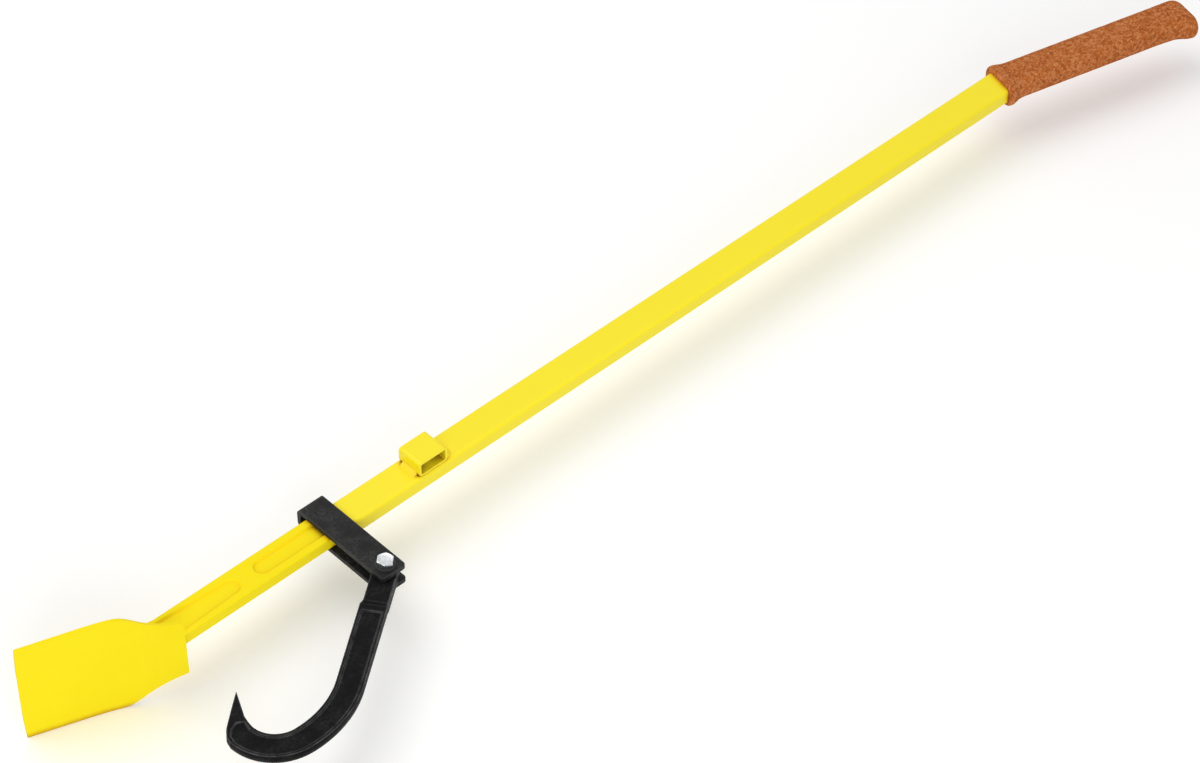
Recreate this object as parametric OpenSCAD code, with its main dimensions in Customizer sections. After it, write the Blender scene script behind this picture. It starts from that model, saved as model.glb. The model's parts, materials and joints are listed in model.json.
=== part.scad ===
// Felling lever: forged blade and shank, bent tube with a grip, and a hook on a sliding shackle.
// The lever lies on its side: X runs along the straight bar to the grip, Y towards the bar's
// upper edge, Z square to the bar's wide face. Most pieces are written in the bar's frame,
// whose origin is on the bar's centre line above the heel. place() then puts the middle of the
// footprint at the origin, with the blade's side edge on z = 0.

/* [Bar] */
// Width of the bar's wide face
bar_w = 30; // [26:0.5:36]
// Thickness of the bar
bar_t = 15; // [13:0.5:20]
// Radius of the bar's long corners
bar_corner = 3; // [1:0.25:4]
// Wall of the tube
tube_wall = 2; // [1.5:0.25:3]
// Where the forged shank ends and the tube begins
shank_end = 186; // [170:1:230]
// Where the straight bar's line meets the grip's line
bend_x = 982; // [700:1:1200]
// Angle between the grip and the bar
bend_angle = 14; // [5:0.5:20]
// Radius of the tube's bend along its centre line
bend_radius = 90; // [80:1:150]
// Length of the forged spigot inside the tube
spigot_len = 30; // [15:1:60]
// How much wider than the tube the forged shank's wide face is
shank_over = 0.6; // [-0.5:0.1:3]
// How far the forged shank's centre line lies above the tube's
shank_lift = 1.5; // [0:0.1:2]
// Radius of the forged shank's long corners
shank_corner = 1.2; // [1:0.1:3]

/* [Blade] */
// Width of the blade from side edge to side edge
blade_w = 104; // [90:1:130]
// How far the blade's cutting edge lies ahead of the bar's origin
blade_reach = 119.3; // [100:0.1:150]
// How far the cutting edge lies above the bar's centre line
blade_rise = 30; // [22:0.5:40]
// Angle of the flat front part of the blade
blade_angle = 19.6; // [15:0.1:22]
// Length of that flat part
blade_flat = 58; // [50:1:70]
// Thickness of the cutting edge
edge_t = 1.4; // [1:0.1:2.4]
// Thickness of the blade at the end of its flat part
flat_t = 2.2; // [1.5:0.1:4]
// Thickness of the blade at the heel
blade_t = 3; // [2.5:0.25:5]
// How far the middle of the cutting edge stands ahead of its corners
edge_bow = 1.5; // [0.2:0.1:4]
// Width of the heel behind the blade
heel_w = 59; // [50:1:70]
// How far the heel lies behind the bar's origin
heel_x = 6.4; // [2:0.2:12]
// How far the heel's edge stands below the bar's near edge
heel_drop = 6; // [4:0.2:8]
// Angle of the blade's underside at the heel
heel_angle = 21; // [18:0.5:26]
// How far the heel's rear face slopes back to the bar
heel_slope = 2.4; // [1:0.2:5]
// Length of the shoulders, from full width to the heel
shoulder_len = 52.4; // [44:0.5:60]

/* [Shank pockets] */
// Width of a pocket
pocket_w = 17; // [12:0.2:20]
// Depth of a pocket
pocket_d = 2.2; // [1:0.1:3.5]
// Width of the sloping wall round a pocket, seen square to the wide face
pocket_slope = 1.8; // [0.4:0.1:3]
// Rounded end of the front pocket
pocket_front_end = 78.7; // [60:0.5:90]
// Rounded start of the rear pocket
pocket_rear_start = 94.4; // [86:0.1:100]
// How far the rear pocket stops before the tube
pocket_margin = 12; // [8:0.5:20]
// How far the front pocket runs past the heel into the neck
pocket_in = 12; // [6:1:20]
// Width that the front pocket has at the neck
pocket_neck_w = 24; // [18:0.5:26]

/* [Stop loop] */
// Distance of the loop's front face from the tube's start
loop_from_tube = 72; // [60:1:120]
// Length of the loop along the bar
loop_l = 30; // [24:0.5:40]
// Height of the loop above the wide face
loop_h = 15; // [12:0.5:20]
// Length of the loop across the bar
loop_across = 26.5; // [20:0.5:28]
// Wall of the loop
loop_wall = 2; // [1.5:0.25:3]
// Corner radius of the loop
loop_corner = 3; // [2.5:0.25:4]
// Leg of the weld in front of the loop
front_weld = 5; // [3:0.25:6]
// Leg of the weld behind the loop
rear_weld = 8; // [3:0.25:9]

/* [Shackle] */
// Gap between the shackle and the tube's end at rest
strap_from_tube = 0.5; // [0.3:0.1:4]
// Width of the shackle's strap
strap_w = 25; // [20:0.5:32]
// Thickness of the strap
strap_t = 4; // [3:0.25:6]
// Gap between the forged shank's wide face and each arm
strap_gap = 0.35; // [0.3:0.05:1.5]
// Gap between the forged shank's upper edge and the strap's closed end
strap_slack = 6.7; // [1:0.1:8]
// Distance of the bolt from the bar's centre line
bolt_drop = 68.1; // [60:0.1:85]
// Length of the arms beyond the bolt
arm_end = 11; // [9:0.5:16]
// Inner radius of the strap's two bends
strap_bend = 1; // [0.5:0.25:3]
// Radius of the corners at the arms' ends
arm_corner = 3; // [1:0.25:5]

/* [Bolt] */
// Diameter of the bolt's shank
bolt_d = 8; // [6:0.5:10]
// Width across the flats of head and nut
bolt_af = 13; // [12:0.5:17]
// Height of the bolt's head
head_h = 5.3; // [4:0.1:7]
// Height of the lock nut
nut_h = 8; // [6.5:0.25:10]
// Height of the nut's locking ring
insert_h = 2.2; // [1.5:0.1:3]
// Diameter of the washers
washer_d = 17; // [15:0.5:22]
// Thickness of the washers
washer_t = 1.6; // [1:0.1:2.5]
// Bolt thread that stands out of the nut
bolt_out = 2.5; // [1:0.25:6]
// Turn of the bolt's head about its axis
head_turn = 12; // [0:1:59]
// Clearance of the bolt in its washers, arms and nut, on the radius
bolt_play = 0.05; // [0.02:0.01:0.2]
// Running clearance of the bolt in the hook's eye, on the radius
pivot_play = 0.08; // [0.03:0.01:0.1]

/* [Hook] */
// Angle of the hook's shank to the bar at rest
hook_angle = 36.3; // [30:0.1:50]
// How far the shank's centre line lies inside the pivot
shank_shift = 1.1; // [0:0.1:3]
// Straight length from the pivot to the first curve
hook_straight = 120.5; // [100:0.5:150]
// Centre line radius of the first curve
curve_r1 = 93; // [70:0.5:110]
// Turn of the first curve
curve_turn1 = 40.8; // [30:0.1:50]
// Centre line radius of the second curve
curve_r2 = 36; // [30:0.5:60]
// Turn of the second curve
curve_turn2 = 84.2; // [75:0.1:95]
// Width of the hook's flat faces
hook_w = 22.5; // [20:0.1:26]
// Thickness of the hook's body
hook_t = 8; // [6:0.25:9]
// How far the parting ridge stands out of each side
hook_ridge = 0.7; // [0.2:0.1:1.5]
// Width of the rim beside the hook's pocket
rim_w = 2.4; // [1.5:0.1:4]
// Depth of the hook's pocket
web_d = 1.4; // [0.5:0.1:2]
// Side clearance of the eye between the arms
eye_play = 0.35; // [0.3:0.05:1]
// Radius of the eye
eye_r = 11; // [9:0.25:13]
// Width of the neck behind the eye
neck_w = 20.5; // [16:0.1:21.5]
// Distance of the step from the pivot
step_s = 36; // [28:0.5:45]
// Length of the step's ramp
step_l = 3; // [1.5:0.25:6]
// Where the hook's pocket starts after the step
web_start = 6; // [3:0.5:12]
// How far the spike's tip reaches back from the end of the curve
spike_back = 27.7; // [20:0.1:36]
// How far the spike's tip rises from the end of the curve
spike_rise = 38.6; // [30:0.1:46]

/* [Grip] */
// Length of the grip along its own line
grip_len = 209; // [180:1:260]
// Wall of the grip over the bar's narrow faces
grip_wall = 4; // [3:0.25:6]
// How far the collar flares on the upper side and in thickness
collar_flare = 1.4; // [0.5:0.1:4]
// How far the collar flares on the near side
collar_lip = 3.3; // [1:0.1:6]
// How far the rear end flares on the near side
pommel_flare = 6.5; // [3:0.25:9]
// How far the grip starts ahead of the bend
grip_lead = 10; // [8:0.5:16]
// Thickness of the grip's closed end
grip_end_t = 14; // [8:0.5:20]

/* [Hidden] */
$fn = 64;

eps = 0.01;
// A piece that runs on from a bend starts this far inside it, and its faces lie this much
// lower, so that no two faces of one solid nearly coincide
lap = 1;
step = 0.05;

// Lengths along the bar and the hook, rounded so that straight and bent pieces meet exactly
function hundredth(v) = round(100 * v) / 100;
bar_half_w = bar_w / 2;
bar_half_t = bar_t / 2;
blade_half_w = blade_w / 2;

// Forged shank, as thick as the tube's bore so that its end plugs into the tube
shank_w = bar_w + shank_over;
shank_t = bar_t - 2 * tube_wall;
shank_half_t = shank_t / 2;
shank_top = shank_lift + shank_w / 2;
shank_low = shank_lift - shank_w / 2;

// Blade profile in the bar's frame, seen along Z
tip = [-blade_reach, blade_rise];
heel = [heel_x, -bar_half_w - heel_drop];
blade_dir = [cos(blade_angle), -sin(blade_angle)];
flat_end = tip + blade_flat * blade_dir;
heel_dir = [cos(heel_angle), -sin(heel_angle)];
// Handles of the curve from the flat part to the heel, as shares of its chord
front_handle = 0.36 * norm(heel - flat_end);
heel_handle = 0.45 * norm(heel - flat_end);

// A point of a cubic curve through a and d with handles b and c
function curve(a, b, c, d, t) =
    pow(1 - t, 3) * a + 3 * pow(1 - t, 2) * t * b + 3 * (1 - t) * t * t * c + pow(t, 3) * d;
function curve_points(a, b, c, d, steps) =
    [for (i = [0 : steps]) curve(a, b, c, d, i / steps)];

under = concat([tip], curve_points(flat_end, flat_end + front_handle * blade_dir,
    heel - heel_handle * heel_dir, heel, 12));
under_normal = [sin(blade_angle), cos(blade_angle)];
heel_top = heel + blade_t * [sin(heel_angle), cos(heel_angle)];
flat_top = flat_end + flat_t * under_normal;
upper = concat(curve_points(heel_top, heel_top - heel_handle * heel_dir,
    flat_top + front_handle * blade_dir, flat_top, 12), [tip + edge_t * under_normal]);
// How far the shank's body stays above the blade's underside
body_lift = 0.8;

// Half of the blade's outline, seen along Y. The handles are shares of the shoulder's length
shoulder_x = heel_x - shoulder_len;
shoulder_front = 0.34;
shoulder_rear = 0.675;
shoulder_lift = 0.115;
shoulder = curve_points([shoulder_x, blade_half_w],
    [shoulder_x + shoulder_front * shoulder_len, blade_half_w],
    [heel_x - shoulder_rear * shoulder_len, heel_w / 2 + shoulder_lift * shoulder_len],
    [heel_x, heel_w / 2], 14);
// Flanks of the neck: place along the bar, and how far they stand out of the wide face
neck_flank = [[2, -0.5], [-14, 3], [-40, 7], [-62, 8]];
rear_x = heel_x + 10;

// How far a pocket's cut reaches above the wide face, to clear the neck's flanks
pocket_over = 3;

// Shackle and pivot
shackle_x = shank_end - strap_from_tube - strap_w / 2;
strap_in = shank_half_t + strap_gap;
strap_out = strap_in + strap_t;
strap_far = shank_top + strap_slack + strap_t;
pivot = [shackle_x, -bolt_drop];
eye_half = strap_in - eye_play;
head_z = strap_out + washer_t;
// Depth of the bolt's thread, which sets the chamfer of its point
thread_d = 0.1 * bolt_d;
// Locking ring: its radius, how deep it sits, and the nut's wall round it
insert_r = bolt_d / 2 + 1.4;
insert_in = 0.3;
collar_t = 0.5;

// Hook in its own frame: pivot at the origin, shank along -X, outer side towards -Y
face_half = hook_w / 2;
ridge_half = face_half + hook_ridge;
body_half = hook_t / 2;
web_draft = 0.8;
neck_half = neck_w / 2;
body_start = step_s + step_l;
web_from = body_start + web_start;
c1 = [-hundredth(hook_straight), hundredth(curve_r1) + hundredth(shank_shift)];
turn_end = curve_turn1 + curve_turn2;
joint = c1 + curve_r1 * [-sin(curve_turn1), -cos(curve_turn1)];
c2 = joint + curve_r2 * [sin(curve_turn1), cos(curve_turn1)];
curve_end = c2 + curve_r2 * [-sin(turn_end), -cos(turn_end)];
out_dir = [-sin(turn_end), -cos(turn_end)];
spike_dir = [-cos(turn_end), sin(turn_end)];
// Rings of the spike as shares of the way to its tip: outer rise and back, inner rise and
// back, and thickness
spike_rings = [[-0.013, 0, -0.013, 0, 1], [0, 0, 0, 0, 1], [0.14, 0.035, 0.146, 0.047, 1],
    [0.334, 0.186, 0.319, 0.155, 0.9], [0.671, 0.594, 0.609, 0.514, 0.55]];
// End of the hook's pocket in the spike, in half widths of the face: rise and place outwards
web_end = [[-0.1, 0.7], [0.4, 0.62], [0.85, 0.13], [1.05, -0.45], [0.75, -0.92],
    [0.36, -0.82], [-0.1, -0.72]];

// Loop, welds and grip
loop_x = shank_end + loop_from_tube;
weld_half = bar_half_w - bar_corner;
// Outline of a weld from its toe up, as shares of its leg
weld_face = [[1, 0], [0.55, 0.34], [0.16, 0.62]];
bend_tangent = bend_radius * tan(bend_angle / 2);
bend_start = hundredth(bend_x - bend_tangent);
grip_out_w = bar_w + 2 * grip_wall;
grip_out_t = bar_t + 2 * grip_wall;
grip_rear = grip_len - grip_lead;
tube_rear = grip_rear - grip_end_t;

// Stations of the grip: place along its line, growth on the upper side, on the near side and in Z
grip_stations = [
    [-grip_lead, 0.3 * collar_flare, 0.6 * collar_lip, 0.3 * collar_flare],
    [1.5 - grip_lead, 0.9 * collar_flare, 0.95 * collar_lip, 0.9 * collar_flare],
    [4 - grip_lead, collar_flare, collar_lip, collar_flare],
    [8 - grip_lead, 0.7 * collar_flare, 0.7 * collar_lip, 0.7 * collar_flare],
    [13 - grip_lead, 0.2 * collar_flare, 0.2 * collar_lip, 0.2 * collar_flare],
    [20 - grip_lead, 0, 0, 0],
    [grip_rear - 46, 0, 0, 0],
    [grip_rear - 25, 0, 0.12 * pommel_flare, 0],
    [grip_rear - 16, 0, 0.5 * pommel_flare, 0.2],
    [grip_rear - 10, -0.2, 0.88 * pommel_flare, 0.4],
    [grip_rear - 6, -1.2, pommel_flare, 0.2],
    [grip_rear - 3, -3.4, 0.85 * pommel_flare, -0.8],
    [grip_rear - 1, -6.5, 0.4 * pommel_flare, -2.8],
    [grip_rear, -9.5, -0.3 * pommel_flare, -5.2]
];
grip_corner = 10;
grip_x_max = max([for (s = grip_stations)
    s[0] * cos(bend_angle) + (grip_out_w / 2 + s[1]) * sin(bend_angle)]);

// Footprint of the whole lever, for the origin
c1_y = -bolt_drop + c1[0] * sin(hook_angle) + c1[1] * cos(hook_angle);
c2_y = -bolt_drop + c2[0] * sin(hook_angle) + c2[1] * cos(hook_angle);
low_y = curve_turn1 >= hook_angle
    ? c1_y - curve_r1 - ridge_half
    : c2_y - curve_r2 - ridge_half;
high_y = tip[1] + edge_t * under_normal[1];
low_x = tip[0];
high_x = bend_x + grip_x_max;

module place() {
    translate([-(low_x + high_x) / 2, -(low_y + high_y) / 2, blade_half_w]) children();
}

// Flat rounded rectangle about the origin, with true arcs
module round_rect(w, h, r) {
    square([w - 2 * r, h], center = true);
    square([w, h - 2 * r], center = true);
    for (sx = [-1, 1], sy = [-1, 1]) {
        translate([sx * (w / 2 - r), sy * (h / 2 - r)]) circle(r = r);
    }
}

// Forged shank from one x to another
module shank_bar(from, to) {
    start = hundredth(from);
    translate([start, shank_lift, 0]) rotate([90, 0, 90]) linear_extrude(hundredth(to) - start)
        round_rect(shank_w, shank_t, shank_corner);
}

// Bar section, shrunk by a wall, standing in the XY plane of an extrusion
module bar_section(inset = 0) {
    round_rect(bar_w - 2 * inset, bar_t - 2 * inset, max(bar_corner - inset, 0.5));
}

// Straight bar from one x to another
module straight_bar(from, to, inset = 0) {
    start = hundredth(from);
    translate([start, 0, 0]) rotate([90, 0, 90]) linear_extrude(hundredth(to) - start)
        bar_section(inset);
}

// Blade plate: its profile meets its outline
module blade_plate() {
    // The cutting edge's arc through its two corners and its middle
    bow_r = (pow(blade_half_w, 2) + pow(edge_bow, 2)) / (2 * edge_bow);
    half_arc = asin(blade_half_w / bow_r);
    edge = [for (i = [-6 : 6]) [tip[0] + bow_r * (1 - cos(i * half_arc / 6)),
        bow_r * sin(i * half_arc / 6)]];
    outline = concat(edge, shoulder,
        [[rear_x, heel_w / 2], [rear_x, -heel_w / 2]],
        [for (i = [len(shoulder) - 1 : -1 : 0]) [shoulder[i][0], -shoulder[i][1]]]);
    intersection() {
        linear_extrude(blade_w + 2, center = true) polygon(concat(under, upper));
        translate([0, blade_w, 0]) rotate([90, 0, 0]) linear_extrude(2 * blade_w) polygon(outline);
    }
}

// Shank that runs straight into the blade, and spreads out as it meets it
module shank_body() {
    intersection() {
        union() {
            shank_bar(neck_flank[3][0], shank_end);
            neck_spread();
        }
        linear_extrude(blade_w, center = true)
            polygon(concat([for (p = under) p + [0, body_lift]],
                [[heel_x + heel_slope, shank_low], [shank_end, shank_low],
                [shank_end, shank_top], [tip[0], shank_top]]));
    }
}

// Side flanks of the neck, which widen towards the blade
module neck_spread() {
    translate([0, shank_top - eps, 0]) rotate([90, 0, 0]) linear_extrude(shank_w + heel_drop)
        polygon(concat([for (p = neck_flank) [p[0], shank_half_t + p[1]]],
            [for (i = [len(neck_flank) - 1 : -1 : 0])
                [neck_flank[i][0], -shank_half_t - neck_flank[i][1]]]));
}

// Half of a pocket's cross section, from its middle out, with the wide face at height 0
function pocket_half(half) = [[0, -pocket_d], [half - pocket_slope, -pocket_d],
    [half + pocket_slope * pocket_over / pocket_d, pocket_over], [0, pocket_over]];

// Rounded end of a pocket; from is the angle at which its half turn starts
module pocket_end(x, r, from) {
    translate([x, 0, 0]) rotate([0, 0, from]) rotate_extrude(angle = -180)
        polygon(pocket_half(r));
}

// Both pockets of one wide face, cut from that face downwards
module pockets() {
    r = pocket_w / 2;
    front_c = hundredth(pocket_front_end - r);
    rear_c = hundredth(pocket_rear_start + r);
    rear_end = hundredth(shank_end - pocket_margin - r);
    neck = heel_x - pocket_in;
    rear_half = pocket_half(r);
    neck_half = pocket_half(pocket_neck_w / 2);
    pocket_end(front_c, r, 90);
    pocket_end(rear_c, r, 270);
    pocket_end(rear_end, r, 90);
    translate([rear_c, 0, 0]) rotate([90, 0, 90]) linear_extrude(rear_end - rear_c)
        polygon([rear_half[1], rear_half[2],
            [-rear_half[2][0], pocket_over], [-rear_half[1][0], -pocket_d]]);
    polyhedron(
        [for (end = [[neck, neck_half], [front_c, rear_half]], p = [[1, 1], [1, 2], [-1, 2], [-1, 1]])
            [end[0], p[0] * end[1][p[1]][0], end[1][p[1]][1]]],
        [[0, 1, 2, 3], [7, 6, 5, 4], [0, 4, 5, 1], [1, 5, 6, 2], [2, 6, 7, 3], [3, 7, 4, 0]]);
}

module blade() {
    color([0.99, 0.9, 0.2])
    place()
    difference() {
        union() {
            blade_plate();
            shank_body();
            straight_bar(shank_end - 5, shank_end + spigot_len, tube_wall);
        }
        for (side = [0, 1]) {
            mirror([0, 0, side]) translate([0, shank_lift, shank_half_t]) pockets();
        }
    }
}

// Bent bar from the shank to a place along the grip's line
module bent_bar(from, along, inset = 0) {
    straight_bar(from, bend_start, inset);
    translate([bend_start, -bend_radius, 0]) {
        rotate([0, 0, 90]) rotate_extrude(angle = -bend_angle)
            translate([bend_radius, 0]) bar_section(inset);
        rotate([0, 0, -bend_angle]) translate([0, bend_radius, 0])
            straight_bar(-lap, along - bend_tangent, inset + (inset > 0 ? -step : step));
    }
}

module tube() {
    color([0.99, 0.9, 0.2])
    place()
    difference() {
        bent_bar(shank_end, tube_rear);
        bent_bar(shank_end - 1, tube_rear + 1, tube_wall);
    }
}

// Outline of the stop loop, an offcut of tube that lies across the bar
module loop_section(inset = 0) {
    translate([loop_x + loop_l / 2, bar_half_t + loop_h / 2])
        round_rect(loop_l - 2 * inset, loop_h - 2 * inset, max(loop_corner - inset, 0.5));
}

module stop_loop() {
    color([0.99, 0.9, 0.2])
    place()
    translate([0, loop_across / 2, 0]) rotate([90, 0, 0]) linear_extrude(loop_across)
    difference() {
        loop_section();
        loop_section(loop_wall);
    }
}

// Fillet weld at one foot of the loop; dir is -1 in front and 1 behind
module loop_weld(foot_x, leg, dir, half_len) {
    translate([0, half_len, 0]) rotate([90, 0, 0]) linear_extrude(2 * half_len)
    difference() {
        polygon(concat([for (p = weld_face) [foot_x + dir * leg * p[0], bar_half_t + leg * p[1]]],
            [[foot_x, bar_half_t + max(0.8 * leg, loop_corner)],
            [foot_x - dir * loop_corner, bar_half_t + loop_corner],
            [foot_x - dir * loop_corner, bar_half_t]]));
        loop_section();
    }
}

module loop_weld_front() {
    color([0.99, 0.9, 0.2]) place() loop_weld(loop_x, front_weld, -1, weld_half - 2.5);
}

module loop_weld_rear() {
    color([0.99, 0.9, 0.2]) place() loop_weld(loop_x + loop_l, rear_weld, 1, weld_half);
}

// Shackle, a flat strap bent square round the bar, with a bolt hole through both arms
module shackle() {
    near = -bolt_drop - arm_end;
    color([0.13, 0.13, 0.14])
    place()
    difference() {
        intersection() {
            translate([shackle_x - strap_w / 2, 0, 0]) rotate([90, 0, 90]) linear_extrude(strap_w)
            difference() {
                strap_outline(near, strap_far, strap_out, strap_bend + strap_t);
                strap_outline(near - 1, strap_far - strap_t, strap_in, strap_bend);
            }
            translate([shackle_x, (near + strap_far) / 2, 0])
                linear_extrude(2 * strap_out + 2, center = true)
                arm_ends(strap_far - near);
        }
        translate([pivot[0], pivot[1], 0])
            cylinder(r = bolt_d / 2 + bolt_play, h = 2 * strap_out + 2, center = true);
    }
}

// One side of the strap's U, square at the near end and round at the far bends
module strap_outline(near, far, half, r) {
    translate([near, -half]) square([far - r - near, 2 * half]);
    translate([near, -half + r]) square([far - near, 2 * (half - r)]);
    for (s = [-1, 1]) translate([far - r, s * (half - r)]) circle(r = r);
}

// Strap seen along Z, with the corners at its near end rounded
module arm_ends(length) {
    translate([-strap_w / 2, -length / 2 + arm_corner]) square([strap_w, length]);
    translate([-strap_w / 2 + arm_corner, -length / 2]) square([strap_w - 2 * arm_corner, length]);
    for (s = [-1, 1]) {
        translate([s * (strap_w / 2 - arm_corner), -length / 2 + arm_corner])
            circle(r = arm_corner);
    }
}

// Half of the hook's section at a given web depth, as points [across, z] from outer to inner
function half_section(depth, z, inset) = let (
        face = face_half - inset,
        web = face_half - rim_w + inset,
        top = z * (body_half - inset),
        floor_z = z * (body_half - depth - inset)
    ) [
    [face, top],
    [web, top],
    [web - web_draft, floor_z],
    [web_draft - web, floor_z],
    [-web, top],
    [-face, top]
];

function reversed(list) = [for (i = [len(list) - 1 : -1 : 0]) list[i]];

module hook_section(depth, inset = 0) {
    polygon(concat([[ridge_half - inset, 0]], half_section(depth, 1, inset),
        [[inset - ridge_half, 0]], reversed(half_section(depth, -1, inset))));
}

// Straight piece of the shank between two distances from the pivot
module hook_run(from, to, depth) {
    start = hundredth(from);
    translate([-start, hundredth(shank_shift), 0]) rotate([90, 0, -90])
        linear_extrude(hundredth(to) - start) hook_section(depth);
}

// Curved piece about a centre, from one turn of the shank's direction to another
module hook_curve(centre, r, from, to, depth, inset) {
    translate([centre[0], centre[1], 0]) rotate([0, 0, 270 - from])
        rotate_extrude(angle = from - to)
        translate([hundredth(r), 0]) hook_section(depth, inset);
}

// Eye, neck and the ramp down to the body
module hook_eye() {
    intersection() {
        linear_extrude(2 * eye_half, center = true) {
            circle(r = eye_r);
            polygon([[0, eye_r], [-eye_r, neck_half], [-step_s, neck_half],
                [-hundredth(body_start), hundredth(shank_shift) + face_half],
                [-hundredth(body_start), hundredth(shank_shift) - face_half],
                [-step_s, -neck_half], [-eye_r, -neck_half], [0, -eye_r]]);
        }
        rotate([90, 0, 0]) linear_extrude(2 * hook_w, center = true)
            polygon([[eye_r + 1, eye_half], [-step_s, eye_half],
                [-hundredth(body_start), body_half], [-hundredth(body_start), -body_half],
                [-step_s, -eye_half], [eye_r + 1, -eye_half]]);
    }
}

// Six-sided ring of the spike between an outer and an inner point, tapering in Z
function spike_ring(out, in, z, ridge) = let (
        d = (out - in) / max(norm(out - in), eps)
    ) [
    [out[0] + ridge * d[0], out[1] + ridge * d[1], 0],
    [out[0], out[1], z],
    [in[0], in[1], z],
    [in[0] - ridge * d[0], in[1] - ridge * d[1], 0],
    [in[0], in[1], -z],
    [out[0], out[1], -z]
];

module hook_spike() {
    outer = curve_end + face_half * out_dir;
    inner = curve_end - face_half * out_dir;
    point = curve_end + spike_rise * spike_dir - spike_back * out_dir;
    rings = [for (s = spike_rings) spike_ring(
        outer + s[0] * spike_rise * spike_dir - s[1] * (face_half + spike_back) * out_dir,
        inner + s[2] * spike_rise * spike_dir - s[3] * (spike_back - face_half) * out_dir,
        s[4] * body_half, s[4] * hook_ridge)];
    pts = concat([for (r = rings) each r], [[point[0], point[1], 0]]);
    n = len(rings);
    difference() {
        polyhedron(pts, concat(
            [[0, 1, 2, 3, 4, 5]],
            [for (k = [0 : n - 2], i = [0 : 5]) let (j = (i + 1) % 6)
                [k * 6 + i, (k + 1) * 6 + i, (k + 1) * 6 + j]],
            [for (k = [0 : n - 2], i = [0 : 5]) let (j = (i + 1) % 6)
                [k * 6 + i, (k + 1) * 6 + j, k * 6 + j]],
            [for (i = [0 : 5]) [(n - 1) * 6 + i, n * 6, (n - 1) * 6 + (i + 1) % 6]]));
        for (side = [0, 1]) {
            mirror([0, 0, side]) translate([0, 0, body_half - web_d]) linear_extrude(body_half)
                polygon([for (p = web_end)
                    curve_end + face_half * (p[0] * spike_dir + p[1] * out_dir)]);
        }
    }
}

module hook() {
    color([0.14, 0.14, 0.15])
    place()
    translate([pivot[0], pivot[1], 0]) rotate([0, 0, hook_angle])
    difference() {
        union() {
            hook_eye();
            hook_run(body_start, web_from, 0);
            hook_run(web_from, hook_straight, web_d);
            hook_curve(c1, curve_r1, 0, curve_turn1, web_d, 0);
            hook_curve(c2, curve_r2, curve_turn1 - lap / curve_r2 * 180 / PI, turn_end,
                web_d, step);
            hook_spike();
        }
        cylinder(r = bolt_d / 2 + pivot_play, h = 2 * eye_half + 2, center = true);
    }
}

// Puts a piece on the pivot's axis
module on_pivot(z) {
    place() translate([pivot[0], pivot[1], z]) children();
}

// Hexagon prism with its corners turned off by a cone, at the ends that are named
module hex_prism(af, h, turned_top, turned_bottom) {
    point_r = af / 2 / cos(30);
    turn = point_r - af / 2;
    top = turned_top ? turn : 0;
    bottom = turned_bottom ? turn : 0;
    intersection() {
        rotate([0, 0, 30]) cylinder(r = point_r, h = h, $fn = 6);
        rotate_extrude() polygon([[0, 0], [point_r - bottom, 0], [point_r, bottom / 2],
            [point_r, h - top / 2], [point_r - top, h], [0, h]]);
    }
}

module pivot_bolt() {
    tail = strap_out + washer_t + nut_h + bolt_out;
    shank_r = bolt_d / 2;
    point_r = shank_r - thread_d;
    color([0.86, 0.87, 0.88])
    on_pivot(head_z) {
        rotate([0, 0, head_turn]) hex_prism(bolt_af, head_h, true, false);
        translate([0, 0, -head_z - tail]) rotate_extrude() polygon([[0, 0], [point_r, 0],
            [shank_r, thread_d], [shank_r, head_z + tail + eps], [0, head_z + tail + eps]]);
    }
}

// Flat washer with its underside at z = 0
module washer() {
    difference() {
        cylinder(r = washer_d / 2, h = washer_t);
        translate([0, 0, -1]) cylinder(r = bolt_d / 2 + bolt_play, h = washer_t + 2);
    }
}

module head_washer() {
    color([0.16, 0.16, 0.17]) on_pivot(strap_out) washer();
}

module nut_washer() {
    color([0.16, 0.16, 0.17]) on_pivot(-strap_out - washer_t) washer();
}

module lock_nut() {
    color([0.8, 0.81, 0.83])
    on_pivot(-strap_out - washer_t - nut_h)
    difference() {
        union() {
            translate([0, 0, insert_h]) hex_prism(bolt_af, nut_h - insert_h, false, true);
            cylinder(r = insert_r + collar_t, h = insert_h + eps);
        }
        translate([0, 0, -1]) cylinder(r = bolt_d / 2 + bolt_play, h = nut_h + 2);
        translate([0, 0, -1]) cylinder(r = insert_r, h = insert_h + 1);
    }
}

module nut_insert() {
    color([0.1, 0.25, 0.6])
    on_pivot(-strap_out - washer_t - nut_h)
    difference() {
        translate([0, 0, insert_in]) cylinder(r = insert_r, h = insert_h - insert_in);
        translate([0, 0, -1]) cylinder(r = bolt_d / 2 + bolt_play, h = insert_h + 2);
    }
}

// One ring of the grip: a rounded outline in the YZ plane, its corners drawn as quarter turns
function grip_ring(s) = let (
        up = grip_out_w / 2 + s[1],
        down = grip_out_w / 2 + s[2],
        half = grip_out_t / 2 + s[3],
        r = min(half - eps, grip_corner)
    ) [
    for (q = [0 : 3], i = [0 : 6]) let (
        a = q * 90 + i * 15,
        cy = (q == 0 || q == 3) ? up - r : r - down,
        cz = (q < 2) ? half - r : r - half
    ) [s[0], cy + r * cos(a), cz + r * sin(a)]
];

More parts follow.
